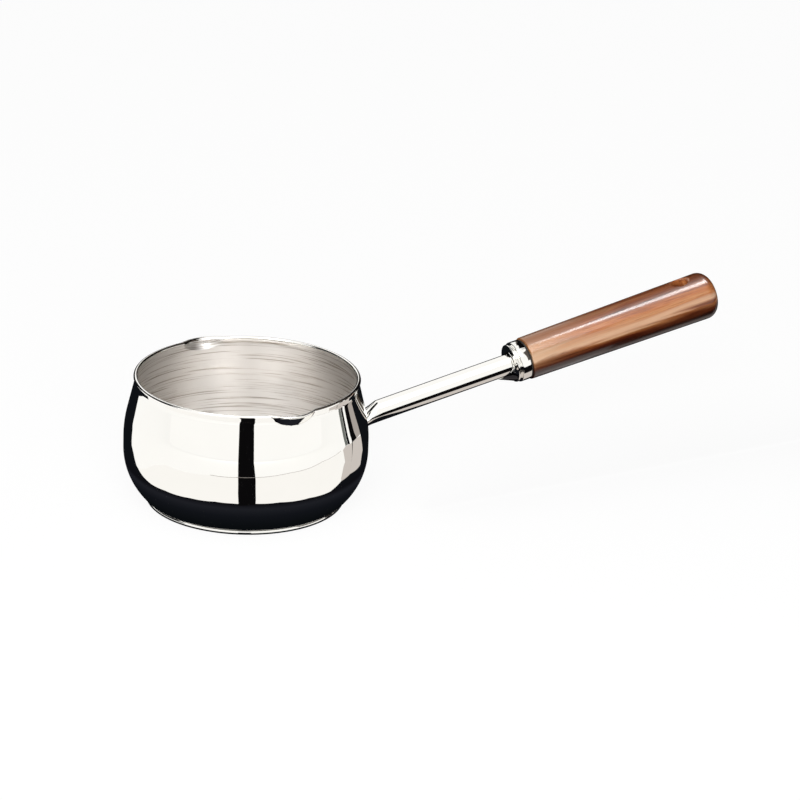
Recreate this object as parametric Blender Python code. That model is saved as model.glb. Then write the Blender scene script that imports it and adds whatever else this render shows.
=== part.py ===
# Hot oil pot: a small bellied steel pot with two pouring lips and a long
# steel and wood handle. The origin is the centre of the base's underside,
# +X runs out along the handle, +Z is up and the pouring lips are at -Y and +Y.

from math import sin, cos, radians, pi, sqrt, hypot

import bpy
import bmesh
from mathutils import Matrix, Vector

mm = 0.001

# Gap left between pieces that touch or are joined on the real object
fitGap = 0.3

# Pot, all sizes in millimetres
bellyRadius = 60.0
wallThickness = 0.8
baseRadius = 48.7
baseHeight = 2.2
cornerRadius = 3.2
lowerArcRadius = 33.0
lowerArcHeight = 27.0
upperArcRadius = 57.0
upperArcHeight = 32.2
wallLean = 13.5
neckArcRadius = 8.0
neckDrop = 2.1
potHeight = 64.15
beadRadius = 1.05
beadOverhang = 0.45
beadStart = -20.0

# Pouring lips pressed out of the rim
lipAngles = (-90.0, 90.0)
lipHalfAngle = 12.2
lipDepth = 5.4
lipReach = 4.0
lipDip = 0.4

# Base plate under the pot
capThickness = 0.5
capEdgeRadius = 0.9
capLean = 17.0
capInnerEdge = 0.6
coreEdge = 0.7

# Handle: its axis passes through a point at the belly's radius
handleHeight = 33.1
handleSlope = 11.6
tubeRadius = 5.3
tubeWall = 1.0
pinchStart = 12.6
pinchRise = 1.2
pinchSlope = 0.48
weldLeg = 1.5
ferruleStart = 86.2
ferruleLength = 7.1
ferruleRadius = 10.3
ferruleLip = 9.75
ferruleGroove = 9.0
flareShort = 1.0
flareLong = 9.0
gasketThickness = 0.6
tubeIntoGrip = 6.0
plugLength = 12.0
studRadius = 2.0
studLength = 46.0
studPoint = 3.5

# Wooden grip
gripFrontRadius = 10.85
gripTaper = 0.0125
gripLength = 108.6
gripEndRound = 6.0
gripEndDome = 0.8
gripFrontEdge = 0.5
holeRadius = 4.25
holeFromFront = 91.0
holeChamfer = 1.0

for old in list(bpy.data.objects):
    bpy.data.objects.remove(old, do_unlink=True)


def material(name, colour, rough, metal):
    mat = bpy.data.materials.new(name)
    mat.use_nodes = True
    shader = mat.node_tree.nodes["Principled BSDF"]
    shader.inputs["Base Color"].default_value = (*colour, 1.0)
    shader.inputs["Roughness"].default_value = rough
    shader.inputs["Metallic"].default_value = metal
    mat.diffuse_color = (*colour, 1.0)
    return mat


def makeObject(name, verts, faces, mat, matrix=None):
    mesh = bpy.data.meshes.new(name)
    mesh.from_pydata([Vector(v) * mm for v in verts], [], faces)
    bm = bmesh.new()
    bm.from_mesh(mesh)
    bmesh.ops.recalc_face_normals(bm, faces=bm.faces)
    bm.to_mesh(mesh)
    bm.free()
    if matrix is not None:
        mesh.transform(matrix)
    mesh.materials.append(mat)
    mesh.shade_smooth()
    mesh.set_sharp_from_angle(angle=radians(32))
    obj = bpy.data.objects.new(name, mesh)
    bpy.context.scene.collection.objects.link(obj)
    return obj


def evenAngles(count):
    return [2 * pi * k / count for k in range(count)]


# Turns an outline of (radius, height) points about Z. The outline either
# starts and ends on the axis or is a closed ring clear of it.
def lathe(outline, angles, bend=None):
    verts = []
    rows = []
    for r, z in outline:
        if r < 1e-6:
            rows.append([len(verts)])
            verts.append((0.0, 0.0, z))
            continue
        row = []
        for a in angles:
            point = (r * cos(a), r * sin(a), z)
            row.append(len(verts))
            verts.append(bend(point, a) if bend else point)
        rows.append(row)
    faces = []
    n = len(angles)
    onAxis = len(rows[0]) == 1
    pairs = list(zip(rows, rows[1:]))
    if not onAxis:
        pairs.append((rows[-1], rows[0]))
    for low, high in pairs:
        for k in range(n):
            m = (k + 1) % n
            if len(low) == 1:
                faces.append((low[0], high[k], high[m]))
            elif len(high) == 1:
                faces.append((low[k], low[m], high[0]))
            else:
                faces.append((low[k], low[m], high[m], high[k]))
    return verts, faces


def arcPoints(cx, cz, r, startDeg, endDeg, steps):
    points = []
    for k in range(steps + 1):
        a = radians(startDeg + (endDeg - startDeg) * k / steps)
        points.append((cx + r * cos(a), cz + r * sin(a)))
    return points


steelMirror = material("polished_steel", (0.78, 0.78, 0.77), 0.06, 1.0)
aluminiumCore = material("aluminium_core", (0.72, 0.73, 0.74), 0.42, 1.0)
weldSteel = material("weld_steel", (0.55, 0.55, 0.55), 0.35, 1.0)
darkRing = material("dark_ring", (0.03, 0.028, 0.026), 0.6, 0.0)
zincSteel = material("zinc_steel", (0.62, 0.62, 0.6), 0.4, 1.0)
wood = material("lacquered_wood", (0.45, 0.19, 0.075), 0.22, 0.0)

# Outside of the pot wall, from its flat bottom up to the rim bead
wallBottom = baseHeight + fitGap
lowerCentre = bellyRadius - lowerArcRadius
upperCentre = bellyRadius - upperArcRadius
cornerZ = wallBottom + cornerRadius
cornerX = lowerCentre + sqrt((lowerArcRadius - cornerRadius) ** 2 - (lowerArcHeight - cornerZ) ** 2)
cornerAngle = 90 - 180 / pi * Vector((0, 1)).angle(Vector((cornerX - lowerCentre, cornerZ - lowerArcHeight)))
beadHeight = potHeight - beadRadius
neckHeight = beadHeight - neckDrop
leanSin = sin(radians(wallLean))
leanCos = cos(radians(wallLean))
arcSpan = upperArcRadius + neckArcRadius
leanRise = neckHeight - upperArcHeight - arcSpan * leanSin
neckX = upperCentre + arcSpan * leanCos - leanRise * leanSin / leanCos
beadX = neckX - neckArcRadius + beadOverhang - beadRadius


def wallOutline(inset, cornerSteps, lowerSteps, upperSteps, neckSteps):
    r = cornerRadius - inset
    points = arcPoints(cornerX, cornerZ, r, -90, cornerAngle, cornerSteps)
    points += arcPoints(lowerCentre, lowerArcHeight, lowerArcRadius - inset, cornerAngle, 0, lowerSteps)[1:]
    points += arcPoints(upperCentre, upperArcHeight, upperArcRadius - inset, 0, wallLean, upperSteps)
    neck = arcPoints(neckX, neckHeight, neckArcRadius + inset, 180 + wallLean, 180, neckSteps)
    r, z = points[-1]
    for share in (0.5, 0.86):
        points.append((r + (neck[0][0] - r) * share, z + (neck[0][1] - z) * share))
    return points + neck


def wallRadius(z):
    points = wallOutline(0.0, 6, 16, 10, 4)
    for (r0, z0), (r1, z1) in zip(points, points[1:]):
        if z0 <= z <= z1:
            return r0 + (r1 - r0) * (z - z0) / (z1 - z0)
    return points[0][0] if z < points[0][1] else points[-1][0]


# Presses the rim outwards and a little down at each pouring lip
def pressLips(point, angle):
    x, y, z = point
    depth = (potHeight - z) / lipDepth
    for lipAngle in lipAngles:
        off = (angle - radians(lipAngle) + pi) % (2 * pi) - pi
        side = off / radians(lipHalfAngle)
        if abs(side) >= 1 or depth >= 1:
            continue
        width = 1 - side ** 2
        fall = depth / sqrt(width)
        if fall >= 1:
            continue
        push = lipReach * width * (1 - fall) ** 0.85
        r = hypot(x, y)
        x, y = x * (r + push) / r, y * (r + push) / r
        z -= lipDip * width * (1 - fall) ** 2
    return (x, y, z)


# Columns are close together at the lips and wider apart elsewhere
def potAngles():
    lipSteps = 14
    restSteps = 30
    half = lipHalfAngle + 0.6
    angles = []
    for lipAngle in lipAngles:
        start = lipAngle - half
        angles += [start + 2 * half * k / lipSteps for k in range(lipSteps)]
        rest = 180 - 2 * half
        start = lipAngle + half
        angles += [start + rest * k / restSteps for k in range(restSteps)]
    return [radians(a) for a in angles]


outside = wallOutline(0.0, 3, 7, 4, 4)
inside = wallOutline(wallThickness, 3, 7, 4, 4)
bead = arcPoints(beadX, beadHeight, beadRadius, beadStart, 215, 8)
floorSteps = (0.0, 0.38 * cornerX, 0.74 * cornerX)
potOutline = [(r, wallBottom) for r in floorSteps]
potOutline += outside
potOutline += bead
potOutline += list(reversed(inside))
potOutline += [(r, wallBottom + wallThickness) for r in reversed(floorSteps)]
potVerts, potFaces = lathe(potOutline, potAngles(), pressLips)
makeObject("pot_body", potVerts, potFaces, steelMirror)

# Disc of aluminium that spreads the heat, shut in by the steel cap under it
capTop = baseRadius - (baseHeight - capEdgeRadius) * sin(radians(capLean)) / cos(radians(capLean))
capInner = capTop - capThickness
coreRadius = capInner - fitGap
coreBottom = capThickness + fitGap
coreOutline = [(0.0, coreBottom), (coreRadius - coreEdge, coreBottom)]
coreOutline += [(coreRadius, coreBottom + coreEdge), (coreRadius, baseHeight), (0.0, baseHeight)]
coreVerts, coreFaces = lathe(coreOutline, evenAngles(72))
makeObject("base_core", coreVerts, coreFaces, aluminiumCore)

capOutline = [(0.0, 0.0)]
capOutline += arcPoints(baseRadius - capEdgeRadius, capEdgeRadius, capEdgeRadius, -90, 0, 3)
capOutline += [(capTop, baseHeight), (capInner, baseHeight)]
capOutline += arcPoints(capInner - capInnerEdge, capThickness + capInnerEdge, capInnerEdge, 0, -90, 2)
capOutline += [(0.0, capThickness)]
capVerts, capFaces = lathe(capOutline, evenAngles(72))
makeObject("base_cap", capVerts, capFaces, steelMirror)

# Handle frame: local Z runs out along the handle from the belly radius and
# local X points up, square to it
slope = radians(handleSlope)
along = Vector((cos(slope), 0, sin(slope)))
upward = Vector((-sin(slope), 0, cos(slope)))
sideways = along.cross(upward)
foot = Vector((bellyRadius, 0, handleHeight))


def handleMatrix(distance):
    place = Matrix((upward, sideways, along)).transposed().to_4x4()
    place.translation = (foot + along * distance) * mm
    return place


# The tube runs straight into the wall. Near its root the top is pinched
# down while the underside goes on in line, and the sides swell a little.
tubeFar = ferruleStart + ferruleLength + gasketThickness + 2 * fitGap + tubeIntoGrip


def tubeRing(distance, inset, count=32):
    run = pinchStart - distance
    if run <= 0:
        drop = 0.0
    elif run < pinchRise:
        drop = pinchSlope * run ** 2 / (2 * pinchRise)
    else:
        drop = pinchSlope * (run - pinchRise / 2)
    centre = foot + along * distance - upward * drop / 2
    high = tubeRadius - drop / 2 - inset
    wide = tubeRadius + drop * 0.4 - inset
    return [centre + upward * high * cos(a) + sideways * wide * sin(a) for a in evenAngles(count)]


# Runs a point down the last stretch of the tube until it meets the wall
def meetWall(point, direction, gap):
    near, far = 0.0, bellyRadius
    for _ in range(50):
        mid = (near + far) / 2
        spot = point - direction * mid
        if hypot(spot.x, spot.y) > wallRadius(spot.z) + gap:
            near = mid
        else:
            far = mid
    return point - direction * near


tubeStations = [tubeFar, pinchStart, pinchStart - pinchRise / 2, pinchStart - pinchRise, pinchStart / 2, 0.0]
tubeRows = [tubeRing(d, 0.0) for d in tubeStations]
tubeRows.append([meetWall(p, along, fitGap) for p in tubeRing(0.0, 0.0)])
tubeRows.append([meetWall(p, along, fitGap) for p in tubeRing(0.0, tubeWall)])
tubeRows += [tubeRing(d, tubeWall) for d in reversed(tubeStations)]


def bridgeRows(rows):
    verts = [p for row in rows for p in row]
    n = len(rows[0])
    faces = []
    for i in range(len(rows)):
        j = (i + 1) % len(rows)
        for k in range(n):
            m = (k + 1) % n
            faces.append((i * n + k, i * n + m, j * n + m, j * n + k))
    return verts, faces


tubeVerts, tubeFaces = bridgeRows(tubeRows)
makeObject("handle_tube", tubeVerts, tubeFaces, steelMirror)


# Pushes a point out to the pot wall's surface plus the gap
def ontoWall(point):
    r = hypot(point.x, point.y)
    want = wallRadius(point.z) + fitGap
    return Vector((point.x * want / r, point.y * want / r, point.z))


# Fillet of weld metal round the tube where it meets the pot
weldRows = [[] for _ in range(5)]
rootCentre = sum(tubeRing(0.0, 0.0), Vector((0, 0, 0))) / 32
for skin in tubeRing(0.0, -fitGap):
    ray = (skin - rootCentre).normalized()
    inner = meetWall(skin, along, fitGap)
    lean = Vector((inner.x, inner.y, 0)).normalized()
    spread = (ray - lean * ray.dot(lean)).normalized()
    onWall = ontoWall(inner + spread * weldLeg)
    onTube = inner + along * weldLeg
    onTube += upward * max(0.0, ray.dot(upward)) * weldLeg * pinchSlope
    onTubeThick = onTube + ray * 0.25
    offWall = onWall + lean * 0.25
    waist = (onTubeThick + offWall) / 2 * 0.62 + inner * 0.38
    waist = waist + (lean + ray) * 0.15
    for row, spot in zip(weldRows, (inner, onTube, onTubeThick, waist, offWall)):
        row.append(spot)
weldRows.append([ontoWall(p) for p in weldRows[4]])
weldVerts, weldFaces = bridgeRows(weldRows)
makeObject("handle_weld", weldVerts, weldFaces, weldSteel)

# Turned collar between the tube and the grip: thin lip, groove and band
collarBore = tubeRadius + fitGap
lipEdge = 0.6
faceReach = ferruleLip - lipEdge - collarBore
ferrule = [(collarBore, ferruleLength), (collarBore, -1.0), (collarBore + 0.3, -1.0)]
ferrule += [(collarBore + 0.6, -0.5), (collarBore + 1.4, -0.12), (collarBore + faceReach * 0.7, 0.0)]
ferrule += arcPoints(ferruleLip - lipEdge, lipEdge, lipEdge, -90, 60, 4)
ferrule += [(ferruleGroove, 1.5), (ferruleGroove, 2.0)]
ferrule += [(ferruleRadius - 0.3, 2.35), (ferruleRadius, 2.8)]
ferrule += [(ferruleRadius, ferruleLength - 0.3), (ferruleRadius - 0.2, ferruleLength)]


# Under the tube the collar's face runs out along it as a straight web
def stretchFlare(point, angle):
    x, y, z = point
    if z > 0:
        return point
    under = ((1 - cos(angle)) / 2) ** 4
    web = -flareLong * max(0.0, 1 - (hypot(x, y) - collarBore) / faceReach)
    return (x, y, z * flareShort * (1 - under) + web * under)


ferruleVerts, ferruleFaces = lathe(ferrule, evenAngles(48), stretchFlare)
makeObject("ferrule", ferruleVerts, ferruleFaces, steelMirror, handleMatrix(ferruleStart))

# Thin dark ring squeezed between the collar and the wood
gasketStart = ferruleStart + ferruleLength + fitGap
gasketRadius = ferruleRadius - 0.3
gasket = [(collarBore, 0.0), (gasketRadius, 0.0), (gasketRadius, gasketThickness)]
gasket += [(collarBore, gasketThickness)]
gasketVerts, gasketFaces = lathe(gasket, evenAngles(48))
makeObject("ferrule_gasket", gasketVerts, gasketFaces, darkRing, handleMatrix(gasketStart))

# Plug fixed in the far end of the tube, threaded for the stud
plugRadius = tubeRadius - tubeWall - fitGap
studHoleRadius = studRadius + fitGap
plugStart = tubeFar - plugLength
plugEdge = 0.4
plug = [(studHoleRadius, plugLength), (studHoleRadius, 0.0), (plugRadius - plugEdge, 0.0)]
plug += [(plugRadius, plugEdge), (plugRadius, plugLength)]
plugVerts, plugFaces = lathe(plug, evenAngles(28))
makeObject("tube_insert", plugVerts, plugFaces, zincSteel, handleMatrix(plugStart))

# Stud that screws into the plug and bites in the wood
studStart = plugStart + fitGap
stud = [(0.0, 0.0), (studRadius * 0.8, 0.0), (studRadius, studRadius * 0.2)]
stud += [(studRadius, studLength - studPoint), (0.0, studLength)]
studVerts, studFaces = lathe(stud, evenAngles(24))
makeObject("hanger_bolt", studVerts, studFaces, zincSteel, handleMatrix(studStart))

# Grip turned with a light taper, its end rounded over
gripStart = gasketStart + gasketThickness + fitGap
socketDepth = tubeFar - gripStart + fitGap
studDepth = studStart + studLength - gripStart + 1.0


def gripRadius(z):
    return gripFrontRadius + gripTaper * z


shoulder = gripLength - gripEndDome - gripEndRound
endFlat = gripRadius(shoulder) - gripEndRound
gripOutline = [(0.0, studDepth)]
gripOutline += [(studHoleRadius, studDepth - studPoint), (studHoleRadius, socketDepth)]
gripOutline += [(tubeRadius + fitGap, socketDepth), (tubeRadius + fitGap, 0.0)]
gripOutline += arcPoints(gripFrontRadius - gripFrontEdge, gripFrontEdge, gripFrontEdge, -90, 0, 3)
for k in range(1, 7):
    z = shoulder * k / 6
    gripOutline.append((gripRadius(z), z))
gripOutline += arcPoints(endFlat, shoulder, gripEndRound, 0, 84, 7)[1:]
gripOutline += [(endFlat * 0.55, gripLength - gripEndDome * 0.3), (0.0, gripLength)]


gripVerts, gripFaces = lathe(gripOutline, evenAngles(48))
grip = makeObject("grip", gripVerts, gripFaces, wood, handleMatrix(gripStart))

# Hanging hole through the grip from top to bottom, eased at both mouths
holeReach = gripRadius(holeFromFront)
coneSpan = 3.0
coneStart = holeReach - holeChamfer - 0.6
coneRadius = holeRadius + holeChamfer + coneSpan
coneEnd = holeReach + coneSpan
cutOutline = [(0.0, -coneEnd), (coneRadius, -coneEnd), (holeRadius, -coneStart)]
cutOutline += [(holeRadius, coneStart), (coneRadius, coneEnd), (0.0, coneEnd)]
cutVerts, cutFaces = lathe(cutOutline, evenAngles(32))
holePlace = Matrix((along, -sideways, upward)).transposed().to_4x4()
holePlace.translation = (foot + along * (gripStart + holeFromFront)) * mm
cutter = makeObject("hang_hole_cutter", cutVerts, cutFaces, wood, holePlace)
cutter.hide_render = True
cutter.display_type = "WIRE"
cut = grip.modifiers.new("hang_hole", "BOOLEAN")
cut.operation = "DIFFERENCE"
cut.solver = "EXACT"
cut.object = cutter
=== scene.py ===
from math import sin, cos, tan, radians, degrees, pi, sqrt, hypot, atan2

import bpy
import bmesh
from mathutils import Matrix, Vector


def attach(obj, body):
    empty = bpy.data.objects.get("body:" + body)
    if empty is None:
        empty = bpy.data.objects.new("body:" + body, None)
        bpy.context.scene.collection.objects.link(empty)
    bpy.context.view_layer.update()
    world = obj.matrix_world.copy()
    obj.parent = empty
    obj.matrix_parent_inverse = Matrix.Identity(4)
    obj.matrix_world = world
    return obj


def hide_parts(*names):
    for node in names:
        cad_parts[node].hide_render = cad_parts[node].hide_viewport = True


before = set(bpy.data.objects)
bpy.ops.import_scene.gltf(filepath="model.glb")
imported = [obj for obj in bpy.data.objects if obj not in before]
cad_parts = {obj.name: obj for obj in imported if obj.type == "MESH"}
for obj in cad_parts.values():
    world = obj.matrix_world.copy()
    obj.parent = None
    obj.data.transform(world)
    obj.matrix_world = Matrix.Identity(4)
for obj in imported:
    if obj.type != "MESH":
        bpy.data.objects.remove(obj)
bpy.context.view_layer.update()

mm = 0.001
scene = bpy.context.scene
print("frame loaded:", len(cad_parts), "nodes")


# Small helpers for node materials
def setSocket(tree, socket, value):
    if hasattr(value, "is_linked"):
        tree.links.new(value, socket)
    else:
        socket.default_value = value


def newMaterial(name):
    mat = bpy.data.materials.new(name)
    mat.use_nodes = True
    tree = mat.node_tree
    return mat, tree, tree.nodes["Principled BSDF"]


def setShader(tree, shader, **values):
    for key, value in values.items():
        setSocket(tree, shader.inputs[key.replace("_", " ")], value)


def addNode(tree, kind, inputs=None, **settings):
    node = tree.nodes.new(kind)
    for key, value in settings.items():
        setattr(node, key, value)
    for key, value in (inputs or {}).items():
        setSocket(tree, node.inputs[key], value)
    return node


def addMath(tree, operation, *values):
    return addNode(tree, "ShaderNodeMath", dict(enumerate(values)), operation=operation).outputs[0]


def addNoise(tree, vector, detail, **more):
    inputs = {"Vector": vector, "Scale": 1.0, "Detail": detail, **more}
    return addNode(tree, "ShaderNodeTexNoise", inputs).outputs["Fac"]


def addRange(tree, value, low, high, start=0.0, end=1.0):
    inputs = {"Value": value, "From Min": start, "From Max": end, "To Min": low, "To Max": high}
    return addNode(tree, "ShaderNodeMapRange", inputs).outputs["Result"]


def mixValues(tree, share, a, b):
    mix = addNode(tree, "ShaderNodeMix", {"Factor": share, "A": a, "B": b}, data_type="FLOAT")
    return mix.outputs["Result"]


def mixColours(tree, share, a, b, mode="MIX"):
    if isinstance(b, tuple):
        b = (*b, 1.0)
    mix = addNode(tree, "ShaderNodeMix", {"Factor": share, "A": a, "B": b}, data_type="RGBA", blend_type=mode)
    return mix.outputs["Result"]


def addRamp(tree, source, stops):
    ramp = tree.nodes.new("ShaderNodeValToRGB")
    bar = ramp.color_ramp
    while len(bar.elements) < len(stops):
        bar.elements.new(0.5)
    for element, (place, colour) in zip(bar.elements, stops):
        element.position = place
        if isinstance(colour, (int, float)):
            colour = (colour, colour, colour)
        element.color = (*colour, 1.0)
    tree.links.new(source, ramp.inputs["Fac"])
    return ramp.outputs["Color"]


def addBump(tree, height, strength, distance):
    bump = addNode(tree, "ShaderNodeBump", {"Height": height, "Strength": strength, "Distance": distance})
    return bump.outputs["Normal"]


# Object coordinates, stretched: a small factor gives long streaks that way
def objectCoords(tree, scale, turn=(0, 0, 0)):
    coords = addNode(tree, "ShaderNodeTexCoord")
    mapping = addNode(tree, "ShaderNodeMapping", {
        "Vector": coords.outputs["Object"],
        "Scale": scale,
        "Rotation": [radians(a) for a in turn],
    })
    return mapping.outputs["Vector"]


# Radius, height and direction round the pot's axis, for turned marks that
# are fine across and drawn out along the turn
def turnedCoords(tree, across, around):
    coords = addNode(tree, "ShaderNodeTexCoord")
    split = addNode(tree, "ShaderNodeSeparateXYZ", {"Vector": coords.outputs["Object"]})
    x, y, z = (split.outputs[k] for k in "XYZ")
    flat = addNode(tree, "ShaderNodeCombineXYZ", {"X": x, "Y": y}).outputs["Vector"]
    radius = addNode(tree, "ShaderNodeVectorMath", {0: flat}, operation="LENGTH").outputs["Value"]
    way = addNode(tree, "ShaderNodeVectorMath", {0: flat}, operation="NORMALIZE").outputs["Vector"]
    wayParts = addNode(tree, "ShaderNodeSeparateXYZ", {"Vector": way})
    wayX, wayY = (addMath(tree, "MULTIPLY", wayParts.outputs[k], around) for k in "XY")
    fromAxis, fromFloor = (addMath(tree, "MULTIPLY", v, across) for v in (radius, z))
    depth = addMath(tree, "ADD", fromAxis, fromFloor)
    return addNode(tree, "ShaderNodeCombineXYZ", {"X": wayX, "Y": wayY, "Z": depth}).outputs["Vector"]


# Mirror-polished steel: clear reflections, with the last trace of the buffing
polish = {
    "colour": (0.985, 0.97, 0.925),
    "clouding": 0.985,
    "cloudScale": (60, 60, 60),
    "grainScale": (900, 900, 900),
    "rough": (0.01, 0.035),
    "wave": 0.03,
    "waveHeight": 0.00002,
}


def polishedSteel(name, tone=polish["colour"]):
    mat, tree, shader = newMaterial(name)
    clouds = addNoise(tree, objectCoords(tree, polish["cloudScale"]), 3.0)
    grain = addNoise(tree, objectCoords(tree, polish["grainScale"]), 2.0)
    setShader(
        tree, shader, Metallic=1.0,
        Base_Color=addRamp(tree, clouds, [(0.3, [c * polish["clouding"] for c in tone]), (0.7, tone)]),
        Roughness=addRange(tree, grain, *polish["rough"]),
        Normal=addBump(tree, clouds, polish["wave"], polish["waveHeight"]))
    return mat


# Satin steel inside the pot: brushed round and round while it spun
satin = {
    "colour": (0.905, 0.88, 0.85),
    "dark": (0.38, 0.32, 0.27),
    "darkUpTo": 0.37,
    "brightFrom": 0.475,
    "lines": (2600, 1.5),
    "bands": (900, 1.2),
    "bandShare": 0.5,
    "rough": (0.34, 0.46),
    "anisotropy": 0.85,
    "lineRelief": 0.6,
    "lineHeight": 0.000025,
}


def satinSteel(name):
    mat, tree, shader = newMaterial(name)
    lines = addNoise(tree, turnedCoords(tree, *satin["lines"]), 3.0, Roughness=0.6)
    bands = addNoise(tree, turnedCoords(tree, *satin["bands"]), 3.0, Roughness=0.6)
    both = mixValues(tree, satin["bandShare"], lines, bands)
    tangent = addNode(tree, "ShaderNodeTangent", direction_type="RADIAL", axis="Z")
    setShader(
        tree, shader, Metallic=1.0, Anisotropic=satin["anisotropy"], Anisotropic_Rotation=0.25,
        Base_Color=addRamp(tree, both, [(satin["darkUpTo"], satin["dark"]), (satin["brightFrom"], satin["colour"])]),
        Roughness=addRange(tree, bands, *satin["rough"], start=0.3, end=0.7),
        Normal=addBump(tree, both, satin["lineRelief"], satin["lineHeight"]),
        Tangent=tangent.outputs["Tangent"])
    return mat


# Plain metals and the dark ring, for the small and the hidden pieces
plainMetal = {"shade": 0.78, "roughLow": 0.75, "roughHigh": 1.25, "relief": 0.4, "reliefHeight": 0.00005}
fibre = {
    "dark": (0.012, 0.011, 0.010),
    "light": (0.05, 0.045, 0.04),
    "scale": (1400, 1400, 3500),
    "rough": 0.62,
    "relief": 0.6,
    "reliefHeight": 0.00004,
}


def roughMetal(name, colour, rough, grain):
    mat, tree, shader = newMaterial(name)
    spots = addNoise(tree, objectCoords(tree, (grain, grain, grain)), 4.0)
    setShader(
        tree, shader, Metallic=1.0,
        Base_Color=addRamp(tree, spots, [(0.3, [c * plainMetal["shade"] for c in colour]), (0.7, colour)]),
        Roughness=addRange(tree, spots, rough * plainMetal["roughLow"], rough * plainMetal["roughHigh"]),
        Normal=addBump(tree, spots, plainMetal["relief"], plainMetal["reliefHeight"]))
    return mat


def fibreRing(name):
    mat, tree, shader = newMaterial(name)
    strands = addNoise(tree, objectCoords(tree, fibre["scale"]), 3.0)
    setShader(
        tree, shader, Roughness=fibre["rough"],
        Base_Color=addRamp(tree, strands, [(0.35, fibre["dark"]), (0.7, fibre["light"])]),
        Normal=addBump(tree, strands, fibre["relief"], fibre["reliefHeight"]))
    return mat


# Red-brown wood under gloss lacquer. The grain runs out along the handle,
# a few degrees off its axis, so the figure drifts across the grip. Lengths
# here are in metres, as the shader sees them.
woodLook = {
    "deep": (0.085, 0.018, 0.005),
    "middle": (0.36, 0.108, 0.032),
    "light": (0.66, 0.235, 0.07),
    "pale": (0.84, 0.43, 0.20),
    # painted sheen: the pale stripe along the middle of the grip's side
    "paintedSheen": (0.95, 0.66, 0.44),
    # painted shade under the grip: darkest first, then its edge, then where it fades out
    "paintedShade": (0.05, 0.018, 0.012),
    "paintedShadeEdge": (0.17, 0.075, 0.048),
    "paintedShadeFade": (0.60, 0.50, 0.42),
    # a little dimmer over the grip's upper side
    "upperDim": (0.82, 0.72, 0.60),
    "crown": (0.50, 0.37, 0.27),
    "honey": (0.98, 0.60, 0.33),
    "lean": (3.0, -9.0, 0.0),
    "figureScale": (150, 150, 11),
    "streakScale": (640, 640, 30),
    "poreScale": (2600, 2600, 160),
    "streakShare": 0.36,
    "pore": 0.30,
    "layersFrom": -0.006,
    "layersTo": 0.018,
    "layerWander": 0.012,
    "collarReach": 0.034,
    "collarDrift": 0.0013,
    "collarHoney": 0.6,
    "rough": (0.28, 0.46),
    "relief": (0.25, 0.00006),
    "gloss": 0.15,
    "lacquerScale": (300, 300, 90),
    "lacquerRelief": (0.12, 0.00006),
}


# Painted shade along the underside of the grip, a little dimmer over its upper side and darker along its top,
# a painted sheen stripe along the middle of its side, and paler wood near the collar
def paintedShadeAndSheen(tree, figure, plain):
    coords = addNode(tree, "ShaderNodeTexCoord")
    place = addNode(tree, "ShaderNodeSeparateXYZ", {"Vector": coords.outputs["Object"]})
    wander = addMath(tree, "MULTIPLY_ADD", figure, woodLook["layerWander"], place.outputs["X"])
    nearCollar = addRange(tree, place.outputs["Z"], 1.0, 0.0, 0.0, woodLook["collarReach"])
    drift = addMath(tree, "MULTIPLY_ADD", nearCollar, woodLook["collarDrift"], wander)
    across = addRange(tree, drift, 0.0, 1.0, woodLook["layersFrom"], woodLook["layersTo"])
    # Painted shade: a multiplier round the grip that darkens the underside, dims the upper side and darkens the top
    paintedShade = addRamp(tree, across, [
        (0.32, woodLook["paintedShade"]), (0.47, woodLook["paintedShadeEdge"]), (0.57, woodLook["paintedShadeFade"]), (0.62, 1.0),
        (0.72, woodLook["upperDim"]), (0.89, woodLook["upperDim"]), (0.96, woodLook["crown"])])
    honeyShare = addMath(tree, "MULTIPLY", nearCollar, woodLook["collarHoney"])
    paler = mixColours(tree, honeyShare, plain, woodLook["honey"])
    shadedWood = mixColours(tree, 1.0, paler, paintedShade, "MULTIPLY")
    # Painted sheen: a paler stripe mixed in along the middle of the side
    sheenStripe = addRamp(tree, across, [(0.565, 0.0), (0.625, 0.55), (0.68, 0.5), (0.78, 0.0)])
    return mixColours(tree, sheenStripe, shadedWood, woodLook["paintedSheen"])


def lacqueredWood(name, bored=False):
    mat, tree, shader = newMaterial(name)
    # broad figure, finer streaks and short pores, each longer than it is wide
    figureAt, streaksAt, poresAt = (
        objectCoords(tree, woodLook[key], woodLook["lean"]) for key in ("figureScale", "streakScale", "poreScale"))
    figure = addNoise(tree, figureAt, 5.0, Roughness=0.5, Distortion=0.8)
    streaks = addNoise(tree, streaksAt, 4.0, Roughness=0.6, Distortion=0.3)
    pores = addNoise(tree, poresAt, 2.0)
    grain = mixValues(tree, woodLook["streakShare"], figure, streaks)
    tone = addRamp(tree, grain, [
        (0.33, woodLook["deep"]), (0.43, woodLook["middle"]), (0.53, woodLook["light"]), (0.65, woodLook["pale"])])
    poreMask = addRamp(tree, pores, [(0.30, 0.0), (0.44, 1.0)])
    plain = mixColours(tree, woodLook["pore"], tone, poreMask, "MULTIPLY")
    peel = addNoise(tree, objectCoords(tree, woodLook["lacquerScale"]), 2.0)
    setShader(
        tree, shader, Specular_IOR_Level=0.3, Coat_Weight=1.0, Coat_Roughness=woodLook["gloss"], Coat_IOR=1.45,
        Base_Color=plain if bored else paintedShadeAndSheen(tree, figure, plain),
        Roughness=addRange(tree, streaks, *woodLook["rough"]),
        Normal=addBump(tree, grain, *woodLook["relief"]),
        Coat_Normal=addBump(tree, peel, *woodLook["lacquerRelief"]))
    return mat


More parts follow.
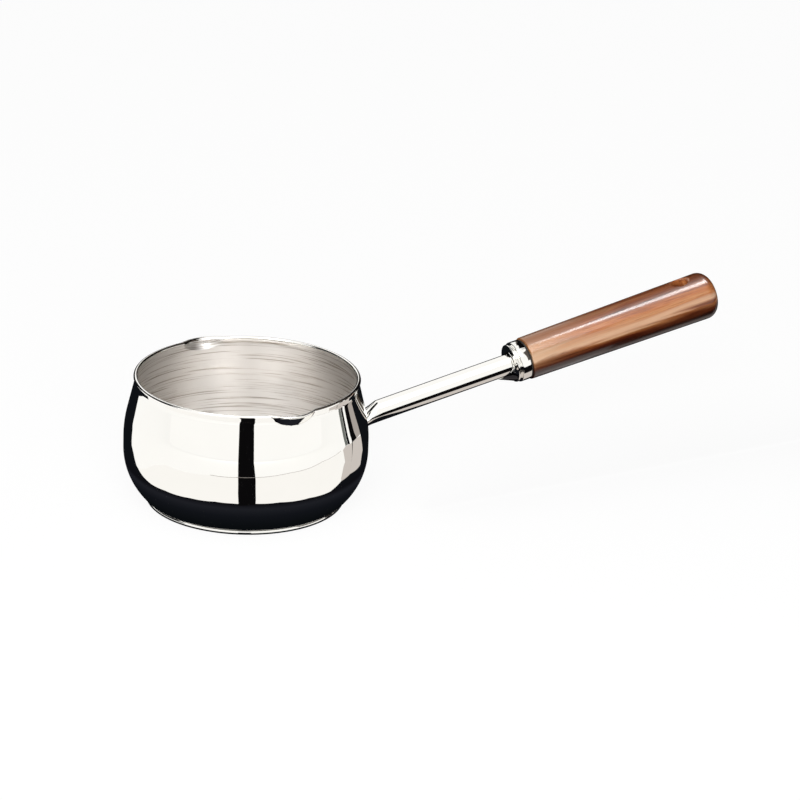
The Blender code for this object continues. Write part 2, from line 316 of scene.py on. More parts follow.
# Puts a mesh into the scene as a piece of the pot
def makePiece(name, verts, faces, mats, matrix=None, sharpAngle=38, faceMats=None):
    mesh = bpy.data.meshes.new(name)
    mesh.from_pydata([Vector(v) * mm for v in verts], [], faces)
    for mat in mats:
        mesh.materials.append(mat)
    if faceMats:
        for polygon, index in zip(mesh.polygons, faceMats):
            polygon.material_index = index
    bm = bmesh.new()
    bm.from_mesh(mesh)
    bmesh.ops.recalc_face_normals(bm, faces=bm.faces)
    bm.to_mesh(mesh)
    bm.free()
    mesh.shade_smooth()
    mesh.set_sharp_from_angle(angle=radians(sharpAngle))
    piece = bpy.data.objects.new(name, mesh)
    scene.collection.objects.link(piece)
    if matrix is not None:
        piece.matrix_world = matrix
    return piece


def evenAngles(count):
    return [2 * pi * k / count for k in range(count)]


def arcPoints(cx, cz, r, startDeg, endDeg, steps):
    points = []
    for k in range(steps + 1):
        a = radians(startDeg + (endDeg - startDeg) * k / steps)
        points.append((cx + r * cos(a), cz + r * sin(a)))
    return points


# Turns an outline of (radius, height) about Z and notes each face's row
def lathe(outline, angles, bend=None):
    verts, rows, faces, rowOf = [], [], [], []
    for r, z in outline:
        if r < 1e-6:
            rows.append([len(verts)])
            verts.append((0.0, 0.0, z))
            continue
        row = []
        for a in angles:
            point = (r * cos(a), r * sin(a), z)
            row.append(len(verts))
            verts.append(bend(point, a) if bend else point)
        rows.append(row)
    pairs = list(zip(rows, rows[1:]))
    if len(rows[0]) > 1:
        pairs.append((rows[-1], rows[0]))
    n = len(angles)
    for i, (low, high) in enumerate(pairs):
        for k in range(n):
            m = (k + 1) % n
            if len(low) == 1:
                faces.append((low[0], high[k], high[m]))
            elif len(high) == 1:
                faces.append((low[k], low[m], high[0]))
            else:
                faces.append((low[k], low[m], high[m], high[k]))
            rowOf.append(i)
    return verts, faces, rowOf


def bridgeRows(rows):
    verts = [p for row in rows for p in row]
    n = len(rows[0])
    faces = []
    for i in range(len(rows)):
        j = (i + 1) % len(rows)
        for k in range(n):
            m = (k + 1) % n
            faces.append((i * n + k, i * n + m, j * n + m, j * n + k))
    return verts, faces


# The pot: drawn wall with a belly, a shallow neck, a rolled rim and two lips
pot = {
    "bellyRadius": 60.0,
    "wall": 0.8,
    "bottom": 2.5,
    "cornerRadius": 3.2,
    "lowerArc": 33.0,
    "lowerHeight": 27.0,
    "upperArc": 57.0,
    "upperHeight": 32.2,
    "lean": 13.5,
    "neckArc": 8.0,
    "neckDrop": 2.1,
    "height": 64.15,
    "bead": 1.05,
    "beadOverhang": 0.45,
    "beadStart": -20.0,
    "beadEnd": 215.0,
    "lipAngles": (-90.0, 90.0),
    "lipHalfAngle": 12.2,
    "lipDepth": 6.1,
    "lipReach": 3.3,
    "lipDip": 0.4,
    "lipMargin": 0.8,
    "lipSteps": 44,
    "sideSteps": 116,
}

lowerCentre = pot["bellyRadius"] - pot["lowerArc"]
upperCentre = pot["bellyRadius"] - pot["upperArc"]
cornerZ = pot["bottom"] + pot["cornerRadius"]
cornerDrop = pot["lowerHeight"] - cornerZ
cornerX = lowerCentre + sqrt((pot["lowerArc"] - pot["cornerRadius"]) ** 2 - cornerDrop ** 2)
cornerAngle = degrees(atan2(-cornerDrop, cornerX - lowerCentre))
beadHeight = pot["height"] - pot["bead"]
neckHeight = beadHeight - pot["neckDrop"]
arcSpan = pot["upperArc"] + pot["neckArc"]
leanSin, leanCos = sin(radians(pot["lean"])), cos(radians(pot["lean"]))
leanRise = neckHeight - pot["upperHeight"] - arcSpan * leanSin
neckX = upperCentre + arcSpan * leanCos - leanRise * leanSin / leanCos
beadX = neckX - pot["neckArc"] + pot["beadOverhang"] - pot["bead"]


def wallOutline(inset):
    points = arcPoints(cornerX, cornerZ, pot["cornerRadius"] - inset, -90, cornerAngle, 7)
    points += arcPoints(lowerCentre, pot["lowerHeight"], pot["lowerArc"] - inset, cornerAngle, 0, 22)[1:]
    points += arcPoints(upperCentre, pot["upperHeight"], pot["upperArc"] - inset, 0, pot["lean"], 12)
    neck = arcPoints(neckX, neckHeight, pot["neckArc"] + inset, 180 + pot["lean"], 180, 10)
    # the straight lean between them, in closer steps where the lips bend it
    r, z = points[-1]
    shares = [0.1 * k for k in range(1, 8)] + [0.7 + 0.025 * k for k in range(1, 12)]
    points += [(r + (neck[0][0] - r) * s, z + (neck[0][1] - z) * s) for s in shares]
    return points + neck


def wallRadius(z):
    points = wallOutline(0.0)
    for (r0, z0), (r1, z1) in zip(points, points[1:]):
        if z0 <= z <= z1:
            return r0 + (r1 - r0) * (z - z0) / (z1 - z0)
    return points[0][0] if z < points[0][1] else points[-1][0]


# Radius of the skin right up to the bead
def skinRadius(z):
    if z <= neckHeight:
        return wallRadius(z)
    rise = min(1.0, (z - neckHeight) / (bead[0][1] - neckHeight))
    return outside[-1][0] + (bead[0][0] - outside[-1][0]) * rise


# Presses the rim outwards and a little down at each pouring lip: the wall
# turns out at a crease and runs straight from there to the bead
def pressLips(point, angle):
    x, y, z = point
    depth = (pot["height"] - z) / pot["lipDepth"]
    for lipAngle in pot["lipAngles"]:
        off = (angle - radians(lipAngle) + pi) % (2 * pi) - pi
        side = off / radians(pot["lipHalfAngle"])
        if abs(side) >= 1 or depth >= 1:
            continue
        width = 1 - side ** 2
        fall = depth / sqrt(width)
        if fall >= 1:
            continue
        creaseRadius = skinRadius(pot["height"] - pot["lipDepth"] * sqrt(width))
        lipRadius = bead[0][0] + pot["lipReach"] * width
        push = max(0.0, creaseRadius + (lipRadius - creaseRadius) * (1 - fall) - skinRadius(z))
        r = hypot(x, y)
        x, y = x * (r + push) / r, y * (r + push) / r
        z -= pot["lipDip"] * width * (1 - fall) ** 2
    return (x, y, z)


# Close steps across each lip and wider ones along the sides
def potAngles():
    half = pot["lipHalfAngle"] + pot["lipMargin"]
    rest = 180 - 2 * half
    angles = []
    for lipAngle in pot["lipAngles"]:
        angles += [lipAngle - half + 2 * half * k / pot["lipSteps"] for k in range(pot["lipSteps"])]
        angles += [lipAngle + half + rest * k / pot["sideSteps"] for k in range(pot["sideSteps"])]
    return [radians(a) for a in angles]


outside = wallOutline(0.0)
inside = wallOutline(pot["wall"])
bead = arcPoints(beadX, beadHeight, pot["bead"], pot["beadStart"], pot["beadEnd"], 18)
neckTop, beadFoot = outside[-1], bead[0]
swell = [[a + (b - a) * k / 7 for a, b in zip(neckTop, beadFoot)] for k in range(1, 7)]
floorSteps = [cornerX * k / 8 for k in range(8)]
potOutline = [(r, pot["bottom"]) for r in floorSteps] + outside + swell + bead
satinStart = len(potOutline) - 2
potOutline += list(reversed(inside)) + [(r, pot["bottom"] + pot["wall"]) for r in reversed(floorSteps)]
potVerts, potFaces, potRows = lathe(potOutline, potAngles(), pressLips)
mirrorSteel = polishedSteel("potPolishedSteel")
brushedSteel = satinSteel("potSatinInside")
potShell = makePiece("potShell", potVerts, potFaces, [mirrorSteel, brushedSteel],
                     faceMats=[1 if row >= satinStart else 0 for row in potRows])
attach(potShell, "root")
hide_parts("pot_body")
print("pot shell:", len(potFaces), "faces")

# Base: the steel cap whose bright edge shows, and the disc shut inside it
base = {
    "radius": 48.7,
    "height": 2.2,
    "sheet": 0.5,
    "edge": 1.05,
    "lean": 17.0,
    "innerEdge": 0.6,
    "topBevel": 0.12,
    "topSwell": 0.04,
}

capTop = base["radius"] - (base["height"] - base["edge"]) * tan(radians(base["lean"]))
capInner = capTop - base["sheet"]
innerEdge = base["innerEdge"]
capOutline = [(base["radius"] * k / 6, 0.0) for k in range(6)]
capOutline += arcPoints(base["radius"] - base["edge"], base["edge"], base["edge"], -90, 8, 10)
capOutline += [(capTop + base["topSwell"], base["height"] - base["topBevel"])]
capOutline += [(capTop - base["topBevel"], base["height"]), (capInner, base["height"])]
capOutline += arcPoints(capInner - innerEdge, base["sheet"] + innerEdge, innerEdge, 0, -90, 6)
capOutline += [(0.0, base["sheet"])]
capVerts, capFaces, _ = lathe(capOutline, evenAngles(240))
capSteel = polishedSteel("basePolishedSteel")
baseCap = makePiece("baseCap", capVerts, capFaces, [capSteel])
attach(baseCap, "root")
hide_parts("base_cap")
print("base cap:", len(capFaces), "faces")

# Handle frame: local Z runs out along the handle from the belly's radius,
# local X points up, square to it
handle = {
    "height": 33.1,
    "slope": 11.6,
    "tubeRadius": 5.3,
    "tubeWall": 1.0,
    "pinchStart": 12.6,
    "pinchRise": 1.2,
    "pinchSlope": 0.48,
    "pinchTop": 3.0,
    "pinchSwell": 0.0121,
    "nearSteps": 8,
    "farSteps": 12,
    "tubeFar": 100.5,
    "gap": 0.3,
}

slope = radians(handle["slope"])
along = Vector((cos(slope), 0, sin(slope)))
upward = Vector((-sin(slope), 0, cos(slope)))
sideways = along.cross(upward)
foot = Vector((pot["bellyRadius"], 0, handle["height"]))


def handleMatrix(distance):
    place = Matrix((upward, sideways, along)).transposed().to_4x4()
    place.translation = (foot + along * distance) * mm
    return place


# Near its root the top of the tube is pinched down on to the wall and its
# sides swell, while the underside runs on straight
def tubeRing(distance, inset, count=96):
    run = handle["pinchStart"] - distance
    rise = handle["pinchRise"]
    drop = 0.0
    if run > rise:
        drop = handle["pinchSlope"] * (run - rise / 2)
    elif run > 0:
        drop = handle["pinchSlope"] * run ** 2 / (2 * rise)
    under = max(0.0, drop - handle["pinchTop"]) / 2
    centre = foot + along * distance - upward * under
    low = handle["tubeRadius"] - under - inset
    high = handle["tubeRadius"] - drop + under - inset
    wide = handle["tubeRadius"] + handle["pinchSwell"] * drop ** 3 - inset
    ring = []
    for a in evenAngles(count):
        ring.append(centre + upward * (high if cos(a) > 0 else low) * cos(a) + sideways * wide * sin(a))
    return ring


# Slides a point in along the handle until it is the gap away from the wall
def meetWall(point, gap):
    near, far = 0.0, pot["bellyRadius"]
    for _ in range(40):
        mid = (near + far) / 2
        spot = point - along * mid
        if hypot(spot.x, spot.y) > wallRadius(spot.z) + gap:
            near = mid
        else:
            far = mid
    return point - along * near


farRun = handle["tubeFar"] - handle["pinchStart"]
stations = [handle["tubeFar"] - farRun * k / handle["farSteps"] for k in range(handle["farSteps"] + 1)]
stations += [handle["pinchStart"] - handle["pinchRise"] * k / 6 for k in range(1, 7)]
stations += [stations[-1] * (1 - k / handle["nearSteps"]) for k in range(1, handle["nearSteps"] + 1)]
wallGap = handle["gap"]
tubeRows = [tubeRing(d, 0.0) for d in stations]
for inset in (0.0, handle["tubeWall"]):
    tubeRows.append([meetWall(p, wallGap) for p in tubeRing(0.0, inset)])
tubeRows += [tubeRing(d, handle["tubeWall"]) for d in reversed(stations)]
tubeVerts, tubeFaces = bridgeRows(tubeRows)
tubeSteel = polishedSteel("tubePolishedSteel")
tube = makePiece("handleTube", tubeVerts, tubeFaces, [tubeSteel])
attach(tube, "root")
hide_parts("handle_tube")


def ontoWall(point):
    r = hypot(point.x, point.y)
    want = wallRadius(point.z) + wallGap
    return Vector((point.x * want / r, point.y * want / r, point.z))


# Weld metal round the tube's root, with the small ripples of its beads
weldBead = {
    "leg": 1.5,
    "steps": 160,
    "ripples": 26,
    "legRipple": 0.05,
    "sag": 0.24,
    "swell": 0.06,
    "swellRipple": 0.03,
    "colour": (0.62, 0.61, 0.60),
    "rough": 0.22,
    "grain": 700,
}

weldRows = [[] for _ in range(9)]
rootRing = tubeRing(0.0, -wallGap, weldBead["steps"])
rootCentre = sum(rootRing, Vector((0, 0, 0))) / len(rootRing)
for a, skin in zip(evenAngles(weldBead["steps"]), rootRing):
    ray = (skin - rootCentre).normalized()
    inner = meetWall(skin, wallGap)
    lean = Vector((inner.x, inner.y, 0)).normalized()
    spread = (ray - lean * ray.dot(lean)).normalized()
    ripple = sin(weldBead["ripples"] * a)
    leg = weldBead["leg"] * (1 + weldBead["legRipple"] * ripple)
    onWall = ontoWall(inner + spread * leg)
    onTube = inner + along * leg + upward * max(0.0, ray.dot(upward)) * leg * handle["pinchSlope"]
    row = [inner, onTube]
    for k in range(1, 7):
        hump = sin(pi * k / 7)
        sag = inner.lerp(onTube.lerp(onWall, k / 7), 1 - weldBead["sag"] * hump)
        row.append(sag + (lean + ray) * (weldBead["swell"] + weldBead["swellRipple"] * ripple) * hump)
    row.append(onWall)
    for target, spot in zip(weldRows, row):
        target.append(spot)
weldVerts, weldFaces = bridgeRows(weldRows)
weldSteel = roughMetal("weldSteel", weldBead["colour"], weldBead["rough"], weldBead["grain"])
weld = makePiece("handleWeld", weldVerts, weldFaces, [weldSteel], sharpAngle=60)
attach(weld, "root")
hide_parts("handle_weld")

# Collar between tube and grip: thin lip, groove and polished band. Under the tube its face runs out along it as a
# straight web,
# with painted shade on it: a near-black polished finish.
collar = {
    "start": 86.2,
    "length": 7.1,
    "radius": 10.3,
    "bandFoot": (0.42, 2.22),
    "bandEdge": 0.4,
    "bandEdgeCentre": 2.65,
    "backEdge": [(0.0, 0.35), (0.08, 0.1), (0.25, 0.0)],
    "lip": 9.75,
    "lipEdge": 0.6,
    "groove": 9.0,
    "grooveCentre": 1.72,
    "grooveRadius": 0.35,
    "fillet": [(0.0, -1.0), (0.12, -1.0), (0.28, -0.86), (0.5, -0.62), (0.8, -0.36),
               (1.15, -0.18), (1.55, -0.07), (2.0, -0.02)],
    "webLength": 9.0,
    "webCos": -0.35,
    "webShade": (0.045, 0.045, 0.05),
    "steps": 160,
}

collarBore = handle["tubeRadius"] + handle["gap"]
bandRadius, bandEdge = collar["radius"], collar["bandEdge"]
lipEdge, grooveRadius = collar["lipEdge"], collar["grooveRadius"]
footDrop, footZ = collar["bandFoot"]
faceReach = collar["lip"] - lipEdge - collarBore
collarOutline = [(collarBore, collar["length"])]
collarOutline += [(collarBore + out, z) for out, z in collar["fillet"]]
collarOutline += [(collarBore + faceReach * k / 8, 0.0) for k in (5, 6, 7)]
webRows = range(1, len(collarOutline))
collarOutline += arcPoints(collar["lip"] - lipEdge, lipEdge, lipEdge, -90, 60, 12)
collarOutline += arcPoints(collar["groove"] + grooveRadius, collar["grooveCentre"], grooveRadius, 250, 110, 8)
collarOutline += [(bandRadius - footDrop, footZ)]
collarOutline += arcPoints(bandRadius - bandEdge, collar["bandEdgeCentre"], bandEdge, -75, 0, 6)
collarOutline += [(bandRadius - drop, collar["length"] - back) for drop, back in collar["backEdge"]]


# The web runs from its full length at the tube to nothing at the lip, and
# grows out of the fillet only under the tube
def stretchWeb(point, angle):
    x, y, z = point
    if z > 0:
        return point
    under = ((1 - cos(angle)) / 2) ** 4
    web = -collar["webLength"] * max(0.0, 1 - (hypot(x, y) - collarBore) / faceReach)
    return (x, y, z * (1 - under) + web * under)


collarAngles = evenAngles(collar["steps"])
collarVerts, collarFaces, collarRows = lathe(collarOutline, collarAngles, stretchWeb)
collarSteel = polishedSteel("collarPolishedSteel")
# The web under the tube gets a near-black polished finish: painted shade
webShadeSteel = polishedSteel("collarWebShade", collar["webShade"])
webFaces = []
for k, row in enumerate(collarRows):
    underTube = cos(collarAngles[k % collar["steps"]]) < collar["webCos"]
    webFaces.append(1 if row in webRows and underTube else 0)
ferrule = makePiece("collarFerrule", collarVerts, collarFaces, [collarSteel, webShadeSteel],
                    handleMatrix(collar["start"]), faceMats=webFaces)
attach(ferrule, "root")
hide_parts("ferrule")

# Thin dark ring squeezed between the collar and the wood
ring = {"start": 93.6, "thick": 0.6, "radius": 10.0}

ringEdge = ring["thick"] / 2
ringOutline = [(collarBore, 0.0)] + arcPoints(ring["radius"] - ringEdge, ringEdge, ringEdge, -90, 90, 8)
ringOutline += [(collarBore, ring["thick"])]
ringVerts, ringFaces, _ = lathe(ringOutline, evenAngles(120))
ringMatrix = handleMatrix(ring["start"])
gasket = makePiece("collarRing", ringVerts, ringFaces, [fibreRing("ringFibre")], ringMatrix)
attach(gasket, "root")
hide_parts("ferrule_gasket")
print("tube, weld, collar and ring done")

# Grip: turned wood with a light taper, bored for the tube and its stud
grip = {
    "start": 94.5,
    "frontRadius": 10.85,
    "taper": 0.0125,
    "length": 108.6,
    "endRound": 6.0,
    "endDome": 0.8,
    "domeSpread": 1.12,
    "domeShare": 0.93,
    "frontEdge": 0.5,
    "socket": 6.3,
    "studDepth": 41.3,
    "studRadius": 2.3,
    "studPoint": 3.5,
    "hole": 4.25,
    "holeFromFront": 91.0,
    "holeEase": 1.3,
    "easeInset": 0.35,
    "drillSpare": 4,
}


def gripRadius(z):
    return grip["frontRadius"] + grip["taper"] * z


gripLength, frontRadius, frontEdge = (grip[key] for key in ("length", "frontRadius", "frontEdge"))
studRadius, studDepth = grip["studRadius"], grip["studDepth"]
shoulder = gripLength - grip["endDome"] - grip["endRound"]
endFlat = gripRadius(shoulder) - grip["endRound"]
gripOutline = [(0.0, studDepth), (studRadius, studDepth - grip["studPoint"]), (studRadius, grip["socket"])]
gripOutline += [(collarBore, grip["socket"]), (collarBore, 0.0)]
gripOutline += arcPoints(frontRadius - frontEdge, frontEdge, frontEdge, -90, 0, 6)
gripOutline += [(gripRadius(shoulder * k / 100), shoulder * k / 100) for k in range(1, 101)]
gripOutline += arcPoints(endFlat, shoulder, grip["endRound"], 0, 84, 20)[1:]
domeRadius, domeDrop = endFlat * grip["domeSpread"], grip["endDome"] * grip["domeShare"]
gripOutline += [(domeRadius * u, gripLength - domeDrop * u ** 2) for u in (0.8, 0.6, 0.4, 0.2)]
gripOutline.append((0.0, gripLength))
gripVerts, gripFaces, _ = lathe(gripOutline, evenAngles(144))
gripFinishes = [lacqueredWood("gripLacqueredWood"), lacqueredWood("holeLacqueredWood", bored=True)]
woodGrip = makePiece("woodGrip", gripVerts, gripFaces, gripFinishes, handleMatrix(grip["start"]))

# The hanging hole is drilled from top to bottom and eased round both mouths
reach = gripRadius(grip["holeFromFront"])
ease, spare = grip["holeEase"], grip["drillSpare"]
mouth = arcPoints(grip["hole"] + ease, reach - ease - grip["easeInset"], ease, 180, 100, 8)
drillOutline = [(0.0, -reach - spare), (grip["hole"] + ease + spare, -reach - spare)]
drillOutline += [(p[0], -p[1]) for p in reversed(mouth)] + mouth
drillOutline += [(grip["hole"] + ease + spare, reach + spare), (0.0, reach + spare)]
drillVerts, drillFaces, _ = lathe(drillOutline, evenAngles(96))
drillPlace = Matrix((along, -sideways, upward)).transposed().to_4x4()
drillPlace.translation = (foot + along * (grip["start"] + grip["holeFromFront"])) * mm
drill = makePiece("holeDrill", drillVerts, drillFaces, gripFinishes, drillPlace, faceMats=[1] * len(drillFaces))
cut = woodGrip.modifiers.new("hangHole", "BOOLEAN")
cut.operation = "DIFFERENCE"
cut.solver = "EXACT"
cut.object = drill
bpy.context.view_layer.update()
graph = bpy.context.evaluated_depsgraph_get()
drilled = bpy.data.meshes.new_from_object(woodGrip.evaluated_get(graph))
woodGrip.modifiers.clear()
woodGrip.data = drilled
bpy.data.objects.remove(drill, do_unlink=True)
drilled.shade_smooth()
drilled.set_sharp_from_angle(angle=radians(40))
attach(woodGrip, "root")
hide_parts("grip")
print("grip:", len(drilled.polygons), "faces")

# Hidden pieces keep the frame's own solids and get finishes of their own
hiddenFinishes = {
    "base_core": roughMetal("coreAluminium", (0.74, 0.75, 0.76), 0.42, 260),
    "tube_insert": roughMetal("insertZinc", (0.64, 0.64, 0.62), 0.38, 480),
    "hanger_bolt": roughMetal("boltZinc", (0.60, 0.60, 0.58), 0.36, 520),
}
for nodeName, finish in hiddenFinishes.items():
    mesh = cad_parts[nodeName].data
    mesh.materials.clear()
    mesh.materials.append(finish)
print("hidden pieces:", len(hiddenFinishes))

# Studio: white floor and surround, one broad lamp on the camera's side, and
# some that show only as gloss: over the pot, in the pot and on the grip
studio = {
    "floorColour": (0.14, 0.14, 0.14),
    "floorGlow": 0.90,
    "floorHalf": 6,
    "floorDrop": 0.0004,
    "surround": 0.42,
    "keyPower": 19.0,
    "topPower": 1.3,
    "sheenOut": 0.6,
    "sheenHeight": 1.04,
    "sheenSize": (0.42, 0.6),
    "glossPower": 1.2,
    "endGlossPower": 4.0,
    "glossOut": 600,
    "glossLean": (0.336, 0.942),
}


# One for rays from the camera and for mirrored and refracted ones, else none
def lightPathMask(tree):
    rays = addNode(tree, "ShaderNodeLightPath").outputs
    seen = addMath(tree, "MAXIMUM", rays["Is Camera Ray"], rays["Is Glossy Ray"])
    return addMath(tree, "MAXIMUM", seen, rays["Is Transmission Ray"])


world = bpy.data.worlds.new("studioWorld")
scene.world = world
world.use_nodes = True
tree = world.node_tree
backdrop = tree.nodes["Background"]
backdrop.inputs["Color"].default_value = (1, 1, 1, 1)
setSocket(tree, backdrop.inputs["Strength"], addRange(tree, lightPathMask(tree), studio["surround"], 1.0))

floorMat, tree, shader = newMaterial("floorPaper")
setShader(
    tree, shader, Base_Color=(*studio["floorColour"], 1), Roughness=1.0, Specular_IOR_Level=0.0,
    Emission_Color=(1, 1, 1, 1),
    Emission_Strength=addMath(tree, "MULTIPLY", lightPathMask(tree), studio["floorGlow"]))
floorHalf = studio["floorHalf"]
floorCorners = [(x * floorHalf, y * floorHalf, 0) for x, y in ((-1, -1), (1, -1), (1, 1), (-1, 1))]
floorMesh = bpy.data.meshes.new("floor")
floorMesh.from_pydata(floorCorners, [], [(0, 1, 2, 3)])
floorMesh.materials.append(floorMat)
floor = bpy.data.objects.new("floor", floorMesh)
floor.location.z = -studio["floorDrop"]
scene.collection.objects.link(floor)


def areaLamp(name, place, target, size, power):
    data = bpy.data.lights.new(name, "AREA")
    data.shape = "RECTANGLE"
    data.size, data.size_y = size
    data.energy = power
    lamp = bpy.data.objects.new(name, data)
    lamp.location = place
    lamp.rotation_euler = (Vector(target) - Vector(place)).to_track_quat("-Z", "Y").to_euler()
    scene.collection.objects.link(lamp)
    return lamp


keyLamp = areaLamp("keyLamp", (-0.63, -1.34, 0.72), (0.15, 0, 0.05), (1.2, 0.9), studio["keyPower"])
keyLamp.visible_glossy = False
topLamp = areaLamp("topLamp", (-0.1, -0.25, 1.35), (0, 0, 0.03), (0.8, 0.8), studio["topPower"])
topLamp.visible_diffuse = False

# Two lamps on the camera's side, for the bright columns inside the pot
for lampName, turn, power in (("rightSheen", -74, 4.0), ("leftSheen", -157, 3.875)):
    place = [studio["sheenOut"] * f(radians(turn)) for f in (cos, sin)] + [studio["sheenHeight"]]
    sheenLamp = areaLamp(lampName, place, (0, 0, 0.05), studio["sheenSize"], power)
    sheenLamp.visible_diffuse = False

# Lamps over the grip, squared to it, that light nothing else and only make
# its streak of gloss. The turn is from straight up towards the camera's side.
gripOnly = bpy.data.collections.new("gripOnly")
gripOnly.objects.link(woodGrip)


def glossOverGrip(name, distance, turn, size, power):
    leanAlong, leanOut = studio["glossLean"]
    outward = upward * cos(radians(turn)) + sideways * sin(radians(turn))
    towards = along * leanAlong + outward * leanOut
    across = (along - towards * along.dot(towards)).normalized()
    place = Matrix((across, towards.cross(across), towards)).transposed().to_4x4()
    place.translation = (foot + along * distance + towards * studio["glossOut"]) * mm
    lamp = areaLamp(name, (0, 0, 1), (0, 0, 0), size, power)
    lamp.matrix_world = place
    lamp.visible_diffuse = False
    lamp.light_linking.receiver_collection = gripOnly


glossOverGrip("glossLamp", 212, 4.5, (0.175, 0.10), studio["glossPower"])
glossOverGrip("endGlossLamp", 390, -8, (0.34, 0.18), studio["endGlossPower"])


# Cards that show only in reflections, as flags do round polished metal
def cardMaterial(name, colour):
    mat = bpy.data.materials.new(name)
    mat.use_nodes = True
    tree = mat.node_tree
    tree.nodes.clear()
    glow = addNode(tree, "ShaderNodeEmission", {"Color": (*colour, 1.0)})
    addNode(tree, "ShaderNodeOutputMaterial", {"Surface": glow.outputs["Emission"]})
    return mat


def addCard(name, verts, faces, mat):
    mesh = bpy.data.meshes.new(name)
    mesh.from_pydata([Vector(v) * mm for v in verts], [], faces)
    mesh.materials.append(mat)
    card = bpy.data.objects.new(name, mesh)
    scene.collection.objects.link(card)
    card.visible_camera = False
    card.visible_diffuse = False
    card.visible_shadow = False
    card.visible_transmission = False
    card.visible_volume_scatter = False
    return card


def flatCard(name, verts, mat):
    return addCard(name, verts, [tuple(range(len(verts)))], mat)


# Upright boards over a line on the ground, between two heights
def wallCard(name, line, low, high, mat):
    n = len(line)
    verts = [(x, y, h) for h in (low, high) for x, y in line]
    return addCard(name, verts, [(k, k + 1, n + k + 1, n + k) for k in range(n - 1)], mat)


# Ground cards lie in thin layers between the floor and the pot's underside
def layerHeight(level):
    return -0.38 + 0.4 * level


def groundCard(name, points, mat, level):
    return flatCard(name, [(x, y, layerHeight(level)) for x, y in points], mat)


lowWall = 130.0


# A band on the ground from two near to two far corners, then up a low wall
def bandCard(name, near, far, mat, level):
    (ax, ay), (bx, by) = near
    (cx, cy), (dx, dy) = far
    z = layerHeight(level)
    verts = [(ax, ay, z), (bx, by, z), (dx, dy, z), (cx, cy, z), (cx, cy, lowWall), (dx, dy, lowWall)]
    return addCard(name, verts, [(0, 1, 2, 3), (3, 2, 5, 4)], mat)


black = cardMaterial("cardBlack", (0.0032, 0.0030, 0.0034))
paleTable = cardMaterial("cardTable", (0.975, 0.965, 0.955))
tableEdge = cardMaterial("cardTableEdge", (0.36, 0.33, 0.31))
greyCard = cardMaterial("cardGrey", (0.16, 0.17, 0.16))
sandCard = cardMaterial("cardSand", (0.60, 0.555, 0.53))
paleSand = cardMaterial("cardPaleSand", (0.39, 0.355, 0.335))
dimCard = cardMaterial("cardDim", (0.10, 0.085, 0.075))

# Dark table top, a little lighter in a ring round the pot
inkTable = cardMaterial("cardInk", (0.006, 0.007, 0.009))
inkTree = inkTable.node_tree
inkPlace = addNode(inkTree, "ShaderNodeTexCoord")
inkRadius = addNode(inkTree, "ShaderNodeVectorMath", {0: inkPlace.outputs["Object"]}, operation="LENGTH")
inkRange = addRange(inkTree, inkRadius.outputs["Value"], 0.0, 1.0, 0.05, 0.10)
inkTone = addRamp(inkTree, inkRange, [
    (0.0, (0.003, 0.004, 0.005)),
    (0.22, (0.006, 0.007, 0.010)),
    (0.42, (0.013, 0.014, 0.019)),
    (0.58, (0.005, 0.005, 0.007)),
    (1.0, (0.005, 0.006, 0.008)),
])
inkTree.links.new(inkTone, inkTree.nodes["Emission"].inputs["Color"])

# Dark table top round and behind the pot, and the walls behind it
nearEdge = [(-94, 46), (-87, 25), (-82, 5), (-80, -14), (-70, -40), (-56, -60), (-43, -69), (-25, -78)]
nearEdge += [(-3, -82), (26, -77), (48, -66), (76, -62), (94, -47), (98, -31), (103, -16), (123, 0)]
nearEdge += [(165, 9), (282, 34), (345, 38)]
farEdge = [(1200, 100), (1200, 1200), (-363, 1200), (-154, 276), (-149, 241), (-130, 170), (-98, 96), (-94, 69)]
groundCard("darkGround", nearEdge + farEdge, inkTable, 0.6)
wallCard("darkWall", [(-363, 1190), (1190, 1190), (1190, 100)], -0.2, lowWall, black)
wallCard("highWall", [(-1190, 104), (-1190, 1195), (1195, 1195), (1195, -250)], lowWall, 440.0, black)

# Dark ceiling over the far end, mirrored in the lacquer on top of the grip
flatCard("gripCeiling", [(266, 35, 700), (800, 35, 700), (900, 900, 700), (455, 900, 700)], black)

# Dark panels behind the handle and beyond the pot
wallCard("handlePanel", [(600, 20), (497, 335)], 1, 620, black)
wallCard("gripPanel", [(270, 280), (760, 280)], 1, 330, black)
flatCard("leftPanel", [(-40, 600, 1), (-335, 497, 1), (-335, 497, 460), (-40, 600, 330)], black)

# Tall dark boards far to both sides, seen by the satin wall inside the pot
# and in the rim
wallCard("rightBoard", [(575, -690), (780, -450), (900, 0), (450, 780)], 250.0, 1400.0, dimCard)
wallCard("leftBoard", [(-330, 838), (-640, 640), (-870, 233)], 250.0, 1400.0, black)

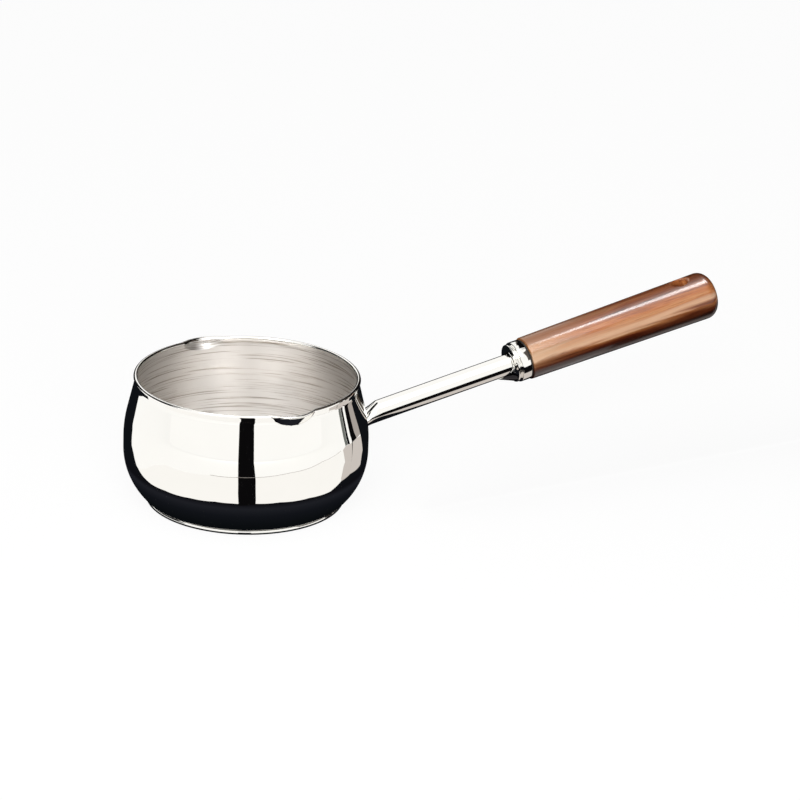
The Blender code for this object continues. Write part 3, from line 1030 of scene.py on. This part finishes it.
# The gap that the camera looks through, and the bands to the right of it
gapOutline = [(-36.4, -68), (-553, -925), (-316, -1033), (-44, -147), (-27, -87), (-24.2, -76)]
groundCard("cameraGap", gapOutline, black, 0.7)
wallCard("gapWall", [(-553, -925), (-316, -1033)], -0.2, 200, black)
bandCard("sideGrey", [(263, -89), (262, -74)], [(1200, -303), (1200, -226)], greyCard, 0.4)
bandCard("sideThin", [(262, -73), (242, -56)], [(1200, -222), (1200, -168)], black, 0.5)
bandCard("sideWide", [(238, -40), (229, -8)], [(1200, -107), (1200, -6)], black, 0.5)
bandCard("sidePale", [(229, -8), (194, 40)], [(1200, -6), (1200, 200)], paleSand, 0.45)
sand = [(76, -62), (88, -67), (123, -66), (226, -99), (263, -89), (242, -56), (229, -9), (194, 19), (165, 9)]
sand += [(123, 0), (103, -16), (98, -31), (94, -47)]
groundCard("sandPatch", sand, sandCard, 0.35)

# Pale table in front, with its edge a fiftieth further out
edge = [(-132, -106), (-85, -148), (-53, -165), (8, -182), (35, -186), (95, -175), (150, -172), (226, -111)]
pale = edge + [(226, -99), (123, -66), (76, -62), (0, 0), (-94, 46), (-160, 0)]
groundCard("paleTable", pale, paleTable, 0.2)
edgeOut = [(x * 1.02, y * 1.02) for x, y in edge]
for k in range(len(edge) - 1):
    groundCard("tableEdge%d" % k, [edge[k], edge[k + 1], edgeOut[k + 1], edgeOut[k]], tableEdge, 0.3)
groundCard("gapEdge", [(-88.8, -147), (-46.5, -166), (-46.8, -169), (-90, -150)], tableEdge, 0.8)

# Dark board that stands in front of the handle; the grip's wood sees it too
boardTop = [(345, 80), (160, 42), (158, 46), (75, 29)]
board = [(x, -47.4 + 0.061 * (x - 75), z) for x, z in [(75, 1), (345, 1)] + boardTop]
handleBoard = flatCard("handleBoard", board, black)
handleBoard.visible_diffuse = True

# Thin rail far above the handle, mirrored as a fine line in the tube, which
# it follows uphill
rail = [(x, y, 633.1 + 0.205 * (x - 334)) for x, y in [(310, -58), (440, -58), (440, -22), (310, -22)]]
flatCard("overheadRail", rail, greyCard)
print("studio set")

# Camera at the photograph's viewing angle, from far away with a long lens
camera = {
    "place": (-0.83495, -1.84202, 0.83653),
    "right": (0.89988, -0.435, 0.03157),
    "up": (0.13075, 0.33811, 0.93198),
    "lens": 199.98,
}

camData = bpy.data.cameras.new("photoCamera")
camData.lens = camera["lens"]
camData.sensor_width = 36.0
camData.clip_start = 0.05
camData.clip_end = 50.0
cam = bpy.data.objects.new("photoCamera", camData)
right, above = Vector(camera["right"]).normalized(), Vector(camera["up"]).normalized()
aim = Matrix((right, above, right.cross(above))).transposed().to_4x4()
aim.translation = Vector(camera["place"])
cam.matrix_world = aim
scene.collection.objects.link(cam)
scene.camera = cam

scene.view_settings.view_transform = "Standard"
